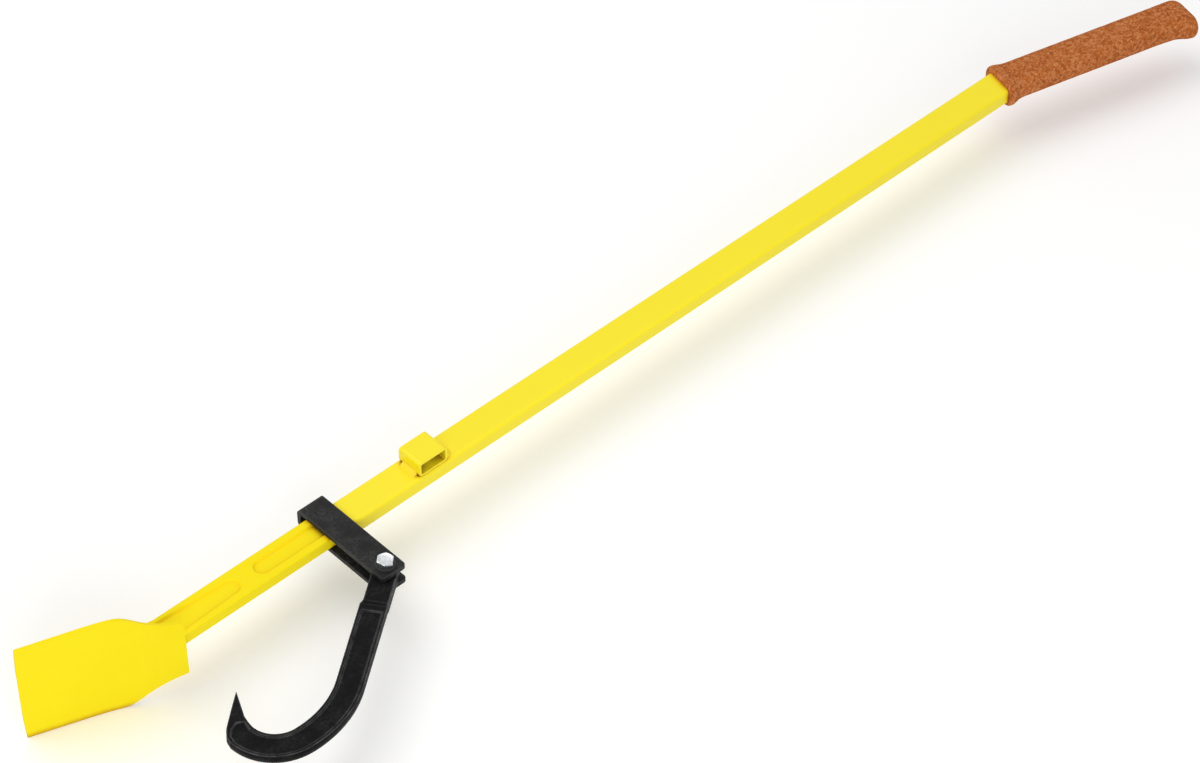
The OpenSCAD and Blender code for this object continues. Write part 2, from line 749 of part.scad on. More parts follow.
module grip() {
    rings = [for (s = grip_stations) grip_ring(s)];
    m = len(rings[0]);
    n = len(rings);
    pts = [for (r = rings) each r];
    color([0.72, 0.4, 0.2])
    place()
    difference() {
        translate([bend_x, 0, 0]) rotate([0, 0, -bend_angle])
        polyhedron(pts, concat(
            [[for (i = [0 : m - 1]) i]],
            [[for (i = [m - 1 : -1 : 0]) (n - 1) * m + i]],
            [for (k = [0 : n - 2], i = [0 : m - 1]) let (j = (i + 1) % m)
                [k * m + i, (k + 1) * m + i, (k + 1) * m + j]],
            [for (k = [0 : n - 2], i = [0 : m - 1]) let (j = (i + 1) % m)
                [k * m + i, (k + 1) * m + j, k * m + j]]));
        bent_bar(bend_x - 2 * bend_tangent - grip_lead, tube_rear);
    }
}

blade();
tube();
stop_loop();
loop_weld_front();
loop_weld_rear();
shackle();
hook();
pivot_bolt();
head_washer();
nut_washer();
lock_nut();
nut_insert();
grip();
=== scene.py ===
"""Felling lever: paint, forging skin, zinc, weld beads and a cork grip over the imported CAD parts.

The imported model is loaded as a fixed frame. Its nodes keep their place and their meshes; they
get rounded edges and materials, or are replaced by a finer piece that rides on the same body.
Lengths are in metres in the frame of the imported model. The outlines of welds and grip are worked
out in millimetres from the bar's origin and put in that frame at the end.
"""

import json
import math

import bmesh
import bpy
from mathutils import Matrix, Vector, noise


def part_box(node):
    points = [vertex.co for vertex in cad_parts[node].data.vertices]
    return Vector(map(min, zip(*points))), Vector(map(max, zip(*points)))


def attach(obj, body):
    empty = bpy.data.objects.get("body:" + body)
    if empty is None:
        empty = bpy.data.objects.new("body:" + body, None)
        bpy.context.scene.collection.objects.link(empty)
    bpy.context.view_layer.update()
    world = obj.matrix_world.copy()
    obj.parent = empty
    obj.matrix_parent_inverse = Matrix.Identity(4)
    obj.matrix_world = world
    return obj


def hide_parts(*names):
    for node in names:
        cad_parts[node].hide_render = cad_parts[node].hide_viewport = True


bl_info = {
    "name": "Felling Lever",
    "version": (1, 0, 0),
    "blender": (4, 5, 0),
    "location": "View3D > Sidebar > Lever",
    "description": "Dresses a packed felling lever with paint, forging skin, welds and cork",
    "category": "Object",
}

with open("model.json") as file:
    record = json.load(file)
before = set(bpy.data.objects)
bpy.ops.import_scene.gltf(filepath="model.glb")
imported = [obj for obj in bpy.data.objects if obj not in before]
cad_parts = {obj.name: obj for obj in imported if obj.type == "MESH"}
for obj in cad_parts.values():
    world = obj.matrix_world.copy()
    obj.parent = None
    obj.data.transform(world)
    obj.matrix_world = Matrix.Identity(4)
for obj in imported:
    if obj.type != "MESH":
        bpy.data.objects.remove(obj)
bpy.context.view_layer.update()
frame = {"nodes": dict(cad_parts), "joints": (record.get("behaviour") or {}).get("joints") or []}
NODES = frame["nodes"]
MM = 0.001

# Where the bar lies: its middle plane, its centre line, and the origin of lengths along it
MIDDLE_Z = (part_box("hook")[0].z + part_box("hook")[1].z) / 2
BAR_HALF_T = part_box("tube")[1].z - MIDDLE_Z
BAR_HALF_W = 15 * MM
TUBE_START = 186 * MM
BAR = Vector((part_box("tube")[0].x - TUBE_START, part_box("tube")[1].y - BAR_HALF_W, MIDDLE_Z))
PIVOT = Vector(next(j["pos_m"] for j in frame["joints"] if j["name"] == "hook_pivot"))

# The photograph's camera, measured from the bar's origin
CAMERA_FROM_BAR = Vector((-1.1128, -1.6884, 2.2778))
CAMERA_TILT = math.radians(45.009)
CAMERA_TURN = math.radians(-43.195)
CAMERA_LENS = 114.75

# Place and width of the two lamps
KEY_LAMP = (Vector((-0.6, 1.3, 2.9)), 3.2)
FILL_LAMP = (Vector((-1.8, -2.4, 1.2)), 2.4)

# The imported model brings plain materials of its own, so the finishes get names of their own
FINISH_PREFIX = "lever_"

# The pivot bolt, and the proportions of its thread as shares of the pitch
BOLT_RADIUS = 4 * MM
BOLT_SIDES = 144
HEAD_ACROSS = 13 * MM
HEAD_TURN = math.radians(12)
THREADED = 10 * MM
THREAD_RUNOUT = 0.3 * MM
THREAD_DEPTH = 0.613
THREAD_FLANK = 0.86
RINGS_PER_PITCH = 10
POINT_CHAMFER = 0.8 * MM
SHANK_PLAY = 0.02 * MM

# The bolt's head: the round face below it, its lower edge as heights over the seat and insets
# from the flats, the rings of its chamfer, and its crown as radii and drops from the top
FACE_HEIGHT, FACE_INSET = 0.25 * MM, 0.15 * MM
HEAD_EDGE = ((0.27 * MM, 0.10 * MM), (0.40 * MM, 0.0))
CHAMFER_STEPS = 12
CROWN = ((6.15 * MM, 0.02 * MM), (5.5 * MM, 0.03 * MM), (5.2 * MM, 0.07 * MM),
         (4.6 * MM, 0.12 * MM), (2.5 * MM, 0.14 * MM))

# The welds: rings and points of a bead, and as shares of its leg its height on the loop's wall,
# its bulge and its rounded end. The bulge and the ripples push out along the face's diagonal
BEAD_STEPS = 150
BEAD_POINTS = 14
BEAD_TOP = 0.80
BEAD_BULGE = 0.17
BEAD_END = 0.75
DIAGONAL = 0.7

# In millimetres, the lag in the middle of a ripple, the radius of the loop's foot and how far
# a weld goes into the loop's wall. Then how steep a ripple is, and the level it swings about
RIPPLE_LAG = 1.3
FOOT_RADIUS = 3
FOOT_OVERLAP = 0.15
RIPPLE_STEEP = 1.6
RIPPLE_LEVEL = 0.45

# The tube's bend before the grip, in millimetres, and the grip's own directions
BEND = math.radians(14)
BEND_CORNER = Vector((982.0, 0, 0))
BEND_RADIUS = 90.0
ALONG = Vector((math.cos(BEND), -math.sin(BEND), 0))
ACROSS = Vector((math.sin(BEND), math.cos(BEND), 0))
SQUARE = Vector((0, 0, 1))

# Along the grip in millimetres from the bend's corner: its mouth, the stretch in which its
# unevenness sets in, and the rings of its bore beyond the bend, the last at the tube's end
GRIP_START = -10
ROUGH_FROM, ROUGH_OVER = -9.0, 4.0
BORE_RINGS = (60.0, 120.0, 185.1)

# Across it in millimetres: the corner radius outside and in the bore, and the bore's play
GRIP_CORNER = 10.0
BORE_CORNER = 3.0
BORE_PLAY = 0.1

# Where the grip's rings stand: start, spacing and number of each run
GRIP_RUNS = ((GRIP_START, 0.25, 13), (-6.8, 0.7, 24), (10.8, 1.8, 80), (154, 1.2, 29),
             (188.4, 0.6, 15), (197.2, 0.3, 7))

# The dome that closes the pommel: size as a share of the last ring, and rise in millimetres
DOME = ((0.9, 0.16), (0.72, 0.30), (0.45, 0.38), (0.2, 0.42))

WHITE = (1.0, 1.0, 1.0)
BLACK = (0.0, 0.0, 0.0)
BRIGHT_ZINC = (0.80, 0.81, 0.82)


def length(name, description, default, low, high):
    """A length property in metres."""
    return bpy.props.FloatProperty(name=name, description=description, default=default,
                                   min=low, max=high, precision=5, unit="LENGTH",
                                   subtype="DISTANCE")


def colour(name, description, default):
    """A colour property, stored as scene-linear red, green and blue."""
    return bpy.props.FloatVectorProperty(name=name, description=description, size=3,
                                         default=default, min=0.0, max=1.0, subtype="COLOR")


def share(name, description, default):
    """A factor between nothing and full."""
    return bpy.props.FloatProperty(name=name, description=description, default=default,
                                   min=0.0, max=1.0, subtype="FACTOR")


def power(name, description, default, high):
    """The power of a lamp in watts."""
    return bpy.props.FloatProperty(name=name, description=description, default=default,
                                   min=0.0, max=high, unit="POWER")


class LeverSizes(bpy.types.PropertyGroup):
    """Sizes of the finer pieces and of the rounded edges."""

    blade_round: length("Blade edge", "Radius on the edges of the forged blade and shank",
                        0.65 * MM, 0.1 * MM, 1.2 * MM)
    tube_round: length("Loop edge", "Radius on the cut ends of the tube and the stop loop",
                       0.35 * MM, 0.05 * MM, 0.8 * MM)
    strap_round: length("Strap edge", "Radius on the edges of the shackle's strap",
                        0.6 * MM, 0.1 * MM, 1.2 * MM)
    hook_round: length("Hook edge", "Radius on the edges of the forged hook",
                       0.55 * MM, 0.1 * MM, 0.8 * MM)
    small_round: length("Fastener edge", "Radius on the edges of washers, nut and its ring",
                        0.15 * MM, 0.02 * MM, 0.3 * MM)
    thread_pitch: length("Thread pitch", "Pitch of the bolt's thread",
                         1.25 * MM, 0.5 * MM, 2 * MM)
    ripple_pitch: length("Weld ripple", "Distance between two ripples of a weld bead",
                         2.1 * MM, 1 * MM, 5 * MM)
    ripple_height: length("Ripple height", "Height of a weld ripple", 0.42 * MM, 0.0, 1 * MM)
    grip_wall: length("Grip wall", "Wall of the grip over the tube",
                      4 * MM, 3 * MM, 6 * MM)
    collar_flare: length("Collar flare", "How far the collar flares all round",
                         1.4 * MM, 0.5 * MM, 4 * MM)
    collar_lip: length("Collar lip", "How far the collar flares on the near side",
                       3.3 * MM, 1 * MM, 6 * MM)
    pommel_flare: length("Pommel flare", "How far the grip's rear end flares on the near side",
                         6.5 * MM, 3 * MM, 9 * MM)
    grip_unevenness: length("Grip unevenness", "How far the ground cork departs from true",
                            0.12 * MM, 0.0, 0.5 * MM)
    floor_size: length("Floor size", "Side of the square floor", 14.0, 4.0, 40.0)


class LeverColours(bpy.types.PropertyGroup):
    """Colours of the finishes."""

    paint: colour("Paint", "Powder coat on blade, tube, loop and welds", (0.985, 0.835, 0.013))
    paint_deep: colour("Paint in hollows", "Powder coat where it lies thicker",
                       (0.960, 0.735, 0.007))
    # Painted shade along inner corners and pocket walls, where the coat also lies a little thicker
    crease_shade: colour("Paint in creases", "Powder coat along inner corners and pocket walls",
                   (0.930, 0.520, 0.004))
    # Painted shade deep in hollows, such as the inside of the stop loop
    deep_shade: colour("Grime", "Dust and shade that settle deep in hollows", (0.130, 0.060, 0.010))
    steel: colour("Bare steel", "Steel where the paint has chipped", (0.42, 0.41, 0.40))
    strap: colour("Strap", "Black finish of the shackle", (0.0088, 0.0086, 0.0085))
    hook: colour("Hook", "Black skin of the forged hook", (0.0028, 0.0028, 0.0029))
    # Grey on the edges of the black parts: rubbed metal, and on strap and hook a painted highlight
    rubbed_and_highlight: colour("Rubbed edge", "Black finish where it is rubbed", (0.150, 0.150, 0.153))
    zinc: colour("Zinc", "Zinc plate of bolt and nut", (0.77, 0.79, 0.81))
    washer: colour("Washer", "Black finish of the washers", (0.016, 0.016, 0.017))
    ring: colour("Locking ring", "Plastic ring in the nut", (0.020, 0.085, 0.42))
    cork: colour("Cork", "Middle tone of the cork grains", (0.530, 0.148, 0.033))
    cork_light: colour("Light cork", "Palest grains", (0.720, 0.285, 0.110))
    cork_dark: colour("Dark cork", "Binder between the grains", (0.225, 0.050, 0.010))
    floor: colour("Floor", "Floor as the lamps see it", (0.80, 0.80, 0.80))


class LeverWear(bpy.types.PropertyGroup):
    """How used the lever looks, and how bright the studio is."""

    blade_chips: share("Blade chips", "Chipped paint along the blade's edges", 0.20)
    bar_chips: share("Bar chips", "Chipped paint along the tube's edges", 0.10)
    # How bright the grey on the black parts' edges is, which on strap and hook is partly a painted
    # highlight
    edge_rub_and_highlight: share("Edge rub", "How bright the rubbed edges of the black parts are", 0.75)
    sky: bpy.props.FloatProperty(name="Surrounding light", description="Strength of the even "
                                 "light from all round", default=0.56, min=0.0, max=2.0)
    key: power("Key lamp", "Power of the lamp overhead", 38.0, 400.0)
    fill: power("Fill lamp", "Power of the lamp beside the camera", 39.0, 200.0)


def feed(tree, socket, value):
    """Links a socket to an input, or sets the input to a number, a vector or a colour."""
    if isinstance(value, bpy.types.NodeSocket):
        tree.links.new(value, socket)
    elif socket.type == "RGBA":
        socket.default_value = (*value, 1.0)
    else:
        socket.default_value = value


def put(tree, kind, column, row, settings=None, **inputs):
    """Adds a node in a column and row of the tree and feeds its inputs by name."""
    node = tree.nodes.new(kind)
    node.location = (column * 220, -row * 190)
    for key, value in (settings or {}).items():
        setattr(node, key, value)
    for key, value in inputs.items():
        feed(tree, node.inputs[key.replace("_", " ")], value)
    return node


def calc(tree, column, row, operation, *operands, clamp=False):
    """A Math node whose operands are numbers or sockets. Returns its output."""
    node = put(tree, "ShaderNodeMath", column, row,
               {"operation": operation, "use_clamp": clamp})
    for socket, value in zip(node.inputs, operands):
        feed(tree, socket, value)
    return node.outputs[0]


def ramp(tree, column, row, value, start, end, low=0.0, high=1.0):
    """Turns a value from start to end into one from low to high, held at both. Returns it."""
    node = put(tree, "ShaderNodeMapRange", column, row, {"clamp": True}, Value=value,
               From_Min=start, From_Max=end, To_Min=low, To_Max=high)
    return node.outputs["Result"]


def clouds(tree, column, row, place, scale, detail, roughness=0.5, distortion=0.0):
    """A noise texture at a place. Returns its value."""
    node = put(tree, "ShaderNodeTexNoise", column, row, Vector=place, Scale=scale,
               Detail=detail, Roughness=roughness, Distortion=distortion)
    return node.outputs["Fac"]


def warped(tree, column, row, place, scale, reach):
    """A place moved about by fine noise, so that cells get uneven outlines. Returns it."""
    warp = put(tree, "ShaderNodeTexNoise", column, row + 1, Vector=place, Scale=scale,
               Detail=2.0)
    moved = put(tree, "ShaderNodeVectorMath", column, row, {"operation": "MULTIPLY_ADD"})
    for socket, value in zip(moved.inputs, (warp.outputs["Color"], (reach,) * 3, place)):
        feed(tree, socket, value)
    return moved.outputs["Vector"]


def blend_colour(tree, column, row, factor, low, high):
    """Mixes two colours, each a socket or a value, by a factor. Returns the result."""
    node = put(tree, "ShaderNodeMix", column, row, {"data_type": "RGBA"})
    for index, value in ((0, factor), (6, low), (7, high)):
        feed(tree, node.inputs[index], value)
    return node.outputs[2]


def tinted(tree, column, body, *layers):
    """Lays tints over a colour, each by a mask times a strength. Returns the last result."""
    for step, (mask, strength, tint) in enumerate(layers, column):
        factor = calc(tree, step, 1, "MULTIPLY", mask, strength)
        body = blend_colour(tree, step, 0, factor, body, tint)
    return body


def scaled(tone, gain, lift=0.0):
    """A tone made lighter or darker, held at full."""
    return tuple(min(1.0, gain * part + lift) for part in tone)


def seen_directly(tree):
    """One for what the camera sees, also by mirror or glass, and nought for bounced light."""
    rays = put(tree, "ShaderNodeLightPath", 0, 0).outputs
    seen = calc(tree, 1, 0, "MAXIMUM", rays["Is Camera Ray"], rays["Is Glossy Ray"])
    return calc(tree, 2, 0, "MAXIMUM", seen, rays["Is Transmission Ray"])


def new_group(name, inputs, outputs):
    """An empty node group with float sockets, and one called Vector for the place. Returns
    it with the sockets that it is given and those that it gives back."""
    group = bpy.data.node_groups.new(name, "ShaderNodeTree")
    group.interface.new_socket("Vector", in_out="INPUT", socket_type="NodeSocketVector")
    for label, default in inputs.items():
        socket = group.interface.new_socket(label, in_out="INPUT",
                                            socket_type="NodeSocketFloat")
        socket.default_value = default
    for label in outputs:
        group.interface.new_socket(label, in_out="OUTPUT", socket_type="NodeSocketFloat")
    enter = put(group, "NodeGroupInput", -4, 0)
    leave = put(group, "NodeGroupOutput", 5, 0)
    return group, enter.outputs, leave.inputs


def edge_rub_and_highlight_group():
    """Mask of the edges that hands and tools rub, and along which the black parts get a painted
    highlight, broken up by noise.
    """
    group, given, back = new_group(
        "edge_rub_and_highlight", {"Radius": 1.2 * MM, "Gain": 6.0, "Breakup": 160.0}, ["Mask"])
    bevel = put(group, "ShaderNodeBevel", -2, 0, {"samples": 6}, Radius=given["Radius"])
    place = put(group, "ShaderNodeNewGeometry", -2, 1)
    dot = put(group, "ShaderNodeVectorMath", -1, 0, {"operation": "DOT_PRODUCT"})
    feed(group, dot.inputs[0], bevel.outputs["Normal"])
    feed(group, dot.inputs[1], place.outputs["Normal"])
    turned = calc(group, 0, 0, "SUBTRACT", 1.0, dot.outputs["Value"], clamp=True)
    strong = calc(group, 1, 0, "MULTIPLY", turned, given["Gain"], clamp=True)
    patch = clouds(group, -1, 2, given["Vector"], given["Breakup"], 3.0, 0.6)
    spread = ramp(group, 1, 2, patch, 0.30, 0.62, low=0.25)
    feed(group, back["Mask"], calc(group, 3, 0, "MULTIPLY", strong, spread, clamp=True))
    return group


def grain_group():
    """Fine even grain as a value about one half, and as a height."""
    group, given, back = new_group("fine_grain", {"Scale": 700.0, "Contrast": 1.0},
                                   ["Value", "Height"])
    fine_share = 0.35
    closer = calc(group, -3, 2, "MULTIPLY", given["Scale"], 3.3)
    coarse = clouds(group, -2, 0, given["Vector"], given["Scale"], 2.0, 0.55)
    fine = clouds(group, -2, 2, given["Vector"], closer, 2.0, 0.6)
    both = calc(group, -1, 0, "MULTIPLY_ADD", fine, fine_share, coarse)
    middle = calc(group, 0, 0, "SUBTRACT", both, (1 + fine_share) / 2)
    spread = calc(group, 1, 0, "MULTIPLY", middle, given["Contrast"])
    feed(group, back["Value"], calc(group, 2, 0, "ADD", spread, 0.5, clamp=True))
    feed(group, back["Height"], both)
    return group


def broad_tone_group():
    """Slow change of tone over a large piece, nought to one."""
    group, given, back = new_group("broad_tone", {"Scale": 12.0, "Spread": 1.0}, ["Tone"])
    slow = clouds(group, -1, 0, given["Vector"], given["Scale"], 3.0, distortion=0.3)
    middle = calc(group, 1, 0, "SUBTRACT", slow, 0.5)
    spread = calc(group, 2, 0, "MULTIPLY", middle, given["Spread"])
    feed(group, back["Tone"], calc(group, 3, 0, "ADD", spread, 0.5, clamp=True))
    return group


def scale_pits_group():
    """Shallow pits that forging scale leaves, as a mask of the pits and a height."""
    group, given, back = new_group("scale_pits", {"Scale": 220.0, "Amount": 0.4},
                                   ["Pits", "Height"])
    moved = warped(group, -3, 0, given["Vector"], 420.0, 2.4 * MM)
    cells = put(group, "ShaderNodeTexVoronoi", -2, 0, {"feature": "SMOOTH_F1"},
                Vector=moved, Scale=given["Scale"], Smoothness=0.5, Randomness=1.0)
    soft = ramp(group, 0, 0, cells.outputs["Distance"], 0.12, 0.42, 1.0, 0.0)
    chosen = clouds(group, -1, 2, given["Vector"], 90.0, 1.0)
    level = calc(group, 0, 2, "GREATER_THAN", chosen, 0.5)
    some = calc(group, 1, 0, "MULTIPLY", soft, level)
    pits = calc(group, 2, 0, "MULTIPLY", some, given["Amount"], clamp=True)
    feed(group, back["Pits"], pits)
    feed(group, back["Height"], calc(group, 3, 1, "SUBTRACT", 1.0, pits))
    return group


def hollow_shade_group():
    """Mask of hollows, where little light comes in from near by."""
    group, given, back = new_group("hollow_shade", {"Reach": 12 * MM, "Closed": 0.3, "Open": 0.8},
                                   ["Mask"])
    open_sky = put(group, "ShaderNodeAmbientOcclusion", -2, 0, {"samples": 8},
                   Distance=given["Reach"])
    patch = clouds(group, -2, 2, given["Vector"], 70.0, 2.0)
    uneven = calc(group, -1, 1, "MULTIPLY_ADD", patch, 0.08, open_sky.outputs["AO"])
    feed(group, back["Mask"],
         ramp(group, 0, 0, uneven, given["Closed"], given["Open"], 1.0, 0.0))
    return group


def cork_grains_group():
    """Ground cork in a rubber binder: a tone for each grain, its seams and its relief."""
    group, given, back = new_group("cork_grains", {"Scale": 620.0},
                                   ["Tone", "Seam", "Height"])
    moved = warped(group, -3, 0, given["Vector"], 900.0, 1.6 * MM)
    grains, seams = (
        put(group, "ShaderNodeTexVoronoi", -2, row, {"feature": feature},
            Vector=moved, Scale=given["Scale"], Randomness=1.0)
        for row, feature in ((0, "F1"), (2, "DISTANCE_TO_EDGE")))
    split = put(group, "ShaderNodeSeparateColor", -1, 0, Color=grains.outputs["Color"])
    line = ramp(group, -1, 2, seams.outputs["Distance"], 0.0, 0.16, 1.0, 0.0)
    lift = calc(group, 1, 2, "SUBTRACT", 1.0, line)
    feed(group, back["Tone"], split.outputs["Red"])
    feed(group, back["Seam"], line)
    feed(group, back["Height"],
         calc(group, 2, 2, "MULTIPLY_ADD", split.outputs["Green"], 0.6, lift))
    return group


GROUP_MAKERS = {"edge_rub_and_highlight": edge_rub_and_highlight_group, "fine_grain": grain_group,
                "broad_tone": broad_tone_group, "scale_pits": scale_pits_group,
                "hollow_shade": hollow_shade_group, "cork_grains": cork_grains_group}


def use_group(tree, name, row, place, **inputs):
    """Places a shared effect in a material, making its group the first time. Returns the
    effect's outputs."""
    node = put(tree, "ShaderNodeGroup", 0, row)
    node.node_tree = bpy.data.node_groups.get(name) or GROUP_MAKERS[name]()
    for key, value in {"Vector": place, **inputs}.items():
        feed(tree, node.inputs[key], value)
    return node.outputs


def new_finish(name, metallic=0.0, specular=0.5):
    """An empty material: its tree, the inputs of its shader and the place on the object."""
    material = bpy.data.materials.new(FINISH_PREFIX + name)
    material.use_nodes = True
    tree = material.node_tree
    tree.nodes.clear()
    shader = put(tree, "ShaderNodeBsdfPrincipled", 8, 0, Metallic=metallic,
                 Specular_IOR_Level=specular)
    put(tree, "ShaderNodeOutputMaterial", 9, 0, Surface=shader.outputs["BSDF"])
    place = put(tree, "ShaderNodeTexCoord", -1, 1)
    return material, tree, shader.inputs, place.outputs["Object"]


def set_surface(tree, surface, tint, roughness, *changes):
    """Feeds the shader its colour, and a roughness to which each mask adds its change."""
    for step, (mask, change) in enumerate(changes, 3):
        roughness = calc(tree, step, 2, "MULTIPLY_ADD", mask, change, roughness)
    feed(tree, surface["Base Color"], tint)
    feed(tree, surface["Roughness"], roughness)


def add_bump(tree, surface, height, distance, strength=0.8, under=None):
    """Feeds a height to the shader's normal, over an earlier bump if there is one."""
    bump = put(tree, "ShaderNodeBump", 6, 4, Strength=strength, Distance=distance,
               Height=height)
    if under is not None:
        feed(tree, bump.inputs["Normal"], under)
    feed(tree, surface["Normal"], bump.outputs["Normal"])
    return bump.outputs["Normal"]


def powder_coat(name, chips, waviness, gloss, depth):
    """Yellow powder coat with orange peel, thin edges, a few chips down to the steel, and painted
    shade in creases and hollows.
    Waviness is the height of the waves in the metal, and depth how far the tone wanders towards the
    deeper paint, which also makes the coat darker on the whole."""
    tones = bpy.context.scene.lever_colours
    material, tree, surface, place = new_finish(name, specular=gloss)
    broad = use_group(tree, "broad_tone", 0, place, Scale=9.0, Spread=1.5)
    peel = use_group(tree, "fine_grain", 1, place, Scale=430.0, Contrast=1.6)
    edge_mask = use_group(tree, "edge_rub_and_highlight", 2, place, Radius=1.1 * MM, Gain=5.0, Breakup=120.0)
    corner = use_group(tree, "edge_rub_and_highlight", 3, place, Radius=0.7 * MM, Gain=7.0, Breakup=330.0)
    # Painted shade: the coat turns orange in creases and pocket walls, where little light comes in
    crease_shade = use_group(tree, "hollow_shade", 4, place, Reach=6 * MM, Closed=0.60, Open=0.98)
    # Painted shade: the coat turns brown deep in hollows, where little light comes in
    hollow_shade = use_group(tree, "hollow_shade", 5, place, Reach=14 * MM, Closed=0.34, Open=0.72)
    tone = calc(tree, 1, 0, "MULTIPLY_ADD", peel["Value"], 0.18, broad["Tone"], clamp=True)
    coat = tinted(tree, 2, tones.paint, (tone, depth, tones.paint_deep),
                  (edge_mask["Mask"], 0.75, tones.paint_deep), (crease_shade["Mask"], 0.8, tones.crease_shade),
                  (hollow_shade["Mask"], 0.9, tones.deep_shade))

    # More chips mean a lower level at which the spots of noise break through at a corner
    level = 0.80 - 0.34 * chips
    spots = clouds(tree, 0, 6, place, 260.0, 4.0, 0.65)
    chip = calc(tree, 3, 3, "MULTIPLY", ramp(tree, 1, 4, spots, level - 0.10, level - 0.06),
                calc(tree, 2, 3, "GREATER_THAN", corner["Mask"], 0.35))
    set_surface(tree, surface, blend_colour(tree, 6, 0, chip, coat, tones.steel),
                0.31, (peel["Value"], 0.10), (chip, 0.18))
    feed(tree, surface["Metallic"], calc(tree, 5, 3, "MULTIPLY", chip, 0.85))
    under = None
    if waviness:
        hammered = clouds(tree, 3, 6, place, 55.0, 1.5, 0.4)
        under = add_bump(tree, surface, hammered, waviness)
    relief = calc(tree, 4, 5, "MULTIPLY_ADD", chip, -0.9, peel["Height"])
    add_bump(tree, surface, relief, 0.055 * MM, under=under)
    return material


def black_strap():
    """Flat bar, blasted and blackened: even fine grain, edges rubbed to grey with a painted
    highlight.
    """
    tones = bpy.context.scene.lever_colours
    rubbed_and_highlight = 0.4 * bpy.context.scene.lever_wear.edge_rub_and_highlight
    material, tree, surface, place = new_finish("black_strap", specular=0.14)
    grain = use_group(tree, "fine_grain", 0, place, Scale=420.0, Contrast=3.0)
    broad = use_group(tree, "broad_tone", 1, place, Scale=90.0, Spread=3.0)
    edge_mask = use_group(tree, "edge_rub_and_highlight", 2, place, Radius=1.8 * MM, Gain=7.0, Breakup=190.0)
    tone = calc(tree, 1, 0, "MULTIPLY", grain["Value"], broad["Tone"])
    # The grey along the strap's edges is rubbed metal and a painted highlight
    set_surface(tree, surface,
                tinted(tree, 2, tones.strap, (tone, 1.0, scaled(tones.strap, 4.6)),
                       (edge_mask["Mask"], rubbed_and_highlight, tones.rubbed_and_highlight)),
                0.40, (grain["Value"], 0.16), (edge_mask["Mask"], -0.12 * rubbed_and_highlight))
    add_bump(tree, surface, grain["Height"], 0.05 * MM, 0.9)
    return material


def forged_skin():
    """Drop forging under thin black: scale pits, hammered waves, edges rubbed to grey with a
    painted highlight.
    """
    tones = bpy.context.scene.lever_colours
    rubbed_and_highlight = bpy.context.scene.lever_wear.edge_rub_and_highlight
    material, tree, surface, place = new_finish("forged_skin", specular=0.06)
    grain = use_group(tree, "fine_grain", 0, place, Scale=380.0, Contrast=3.2)
    broad = use_group(tree, "broad_tone", 1, place, Scale=80.0, Spread=3.0)
    edge_mask = use_group(tree, "edge_rub_and_highlight", 2, place, Radius=1.9 * MM, Gain=9.0, Breakup=150.0)
    pits = use_group(tree, "scale_pits", 3, place, Scale=210.0, Amount=0.75)
    tone = calc(tree, 1, 0, "MULTIPLY", grain["Value"], broad["Tone"])
    # The grey along the hook's edges is rubbed metal and a painted highlight
    set_surface(tree, surface,
                tinted(tree, 2, tones.hook, (tone, 1.0, scaled(tones.hook, 6.0)),
                       (pits["Pits"], 0.5, tones.hook), (edge_mask["Mask"], rubbed_and_highlight, tones.rubbed_and_highlight)),
                0.36, (grain["Value"], 0.20), (pits["Pits"], 0.15))
    waves = clouds(tree, 3, 6, place, 85.0, 1.5, 0.45)
    under = add_bump(tree, surface, waves, 0.45 * MM)
    skin = calc(tree, 4, 5, "MULTIPLY_ADD", pits["Height"], 1.4, grain["Height"])
    add_bump(tree, surface, skin, 0.07 * MM, 0.9, under)
    return material


def zinc_plate():
    """Bright zinc on bolt and nut, a little clouded, brighter on rubbed edges."""
    zinc = bpy.context.scene.lever_colours.zinc
    material, tree, surface, place = new_finish("zinc_plate", metallic=1.0)
    grain = use_group(tree, "fine_grain", 0, place, Scale=1500.0, Contrast=1.8)
    cloud = use_group(tree, "broad_tone", 1, place, Scale=260.0, Spread=1.8)
    edge_mask = use_group(tree, "edge_rub_and_highlight", 2, place, Radius=0.5 * MM, Gain=5.0, Breakup=600.0)
    set_surface(tree, surface,
                tinted(tree, 2, scaled(zinc, 0.66), (cloud["Tone"], 1.0, zinc),
                       (edge_mask["Mask"], 0.6, BRIGHT_ZINC)),
                0.13, (grain["Value"], 0.12))
    add_bump(tree, surface, grain["Height"], 0.010 * MM)
    return material


def black_washer():
    """Phosphated washer, its rim and the ring under the head rubbed to grey."""
    tones = bpy.context.scene.lever_colours
    rubbed_and_highlight = bpy.context.scene.lever_wear.edge_rub_and_highlight
    material, tree, surface, place = new_finish("black_washer", specular=0.22)
    grain = use_group(tree, "fine_grain", 0, place, Scale=1200.0, Contrast=2.0)
    edge_mask = use_group(tree, "edge_rub_and_highlight", 2, place, Radius=0.5 * MM, Gain=5.0, Breakup=420.0)
    set_surface(tree, surface,
                tinted(tree, 2, tones.washer,
                       (grain["Value"], 1.0, scaled(tones.washer, 2.4)),
                       (edge_mask["Mask"], rubbed_and_highlight, tones.rubbed_and_highlight)),
                0.38, (grain["Value"], 0.15))
    add_bump(tree, surface, grain["Height"], 0.03 * MM)
    return material


def ring_plastic():
    """Moulded locking ring, slightly matt and marked."""
    ring = bpy.context.scene.lever_colours.ring
    lighter = scaled(ring, 1.5, 0.02)
    material, tree, surface, place = new_finish("ring_plastic", specular=0.4)
    grain = use_group(tree, "fine_grain", 0, place, Scale=1900.0, Contrast=1.5)
    edge_mask = use_group(tree, "edge_rub_and_highlight", 2, place, Radius=0.3 * MM, Gain=4.0, Breakup=900.0)
    set_surface(tree, surface,
                tinted(tree, 2, ring, (grain["Value"], 0.6, lighter),
                       (edge_mask["Mask"], 0.4, lighter)),
                0.40, (grain["Value"], 0.12))
    add_bump(tree, surface, grain["Height"], 0.015 * MM, 0.7)
    return material


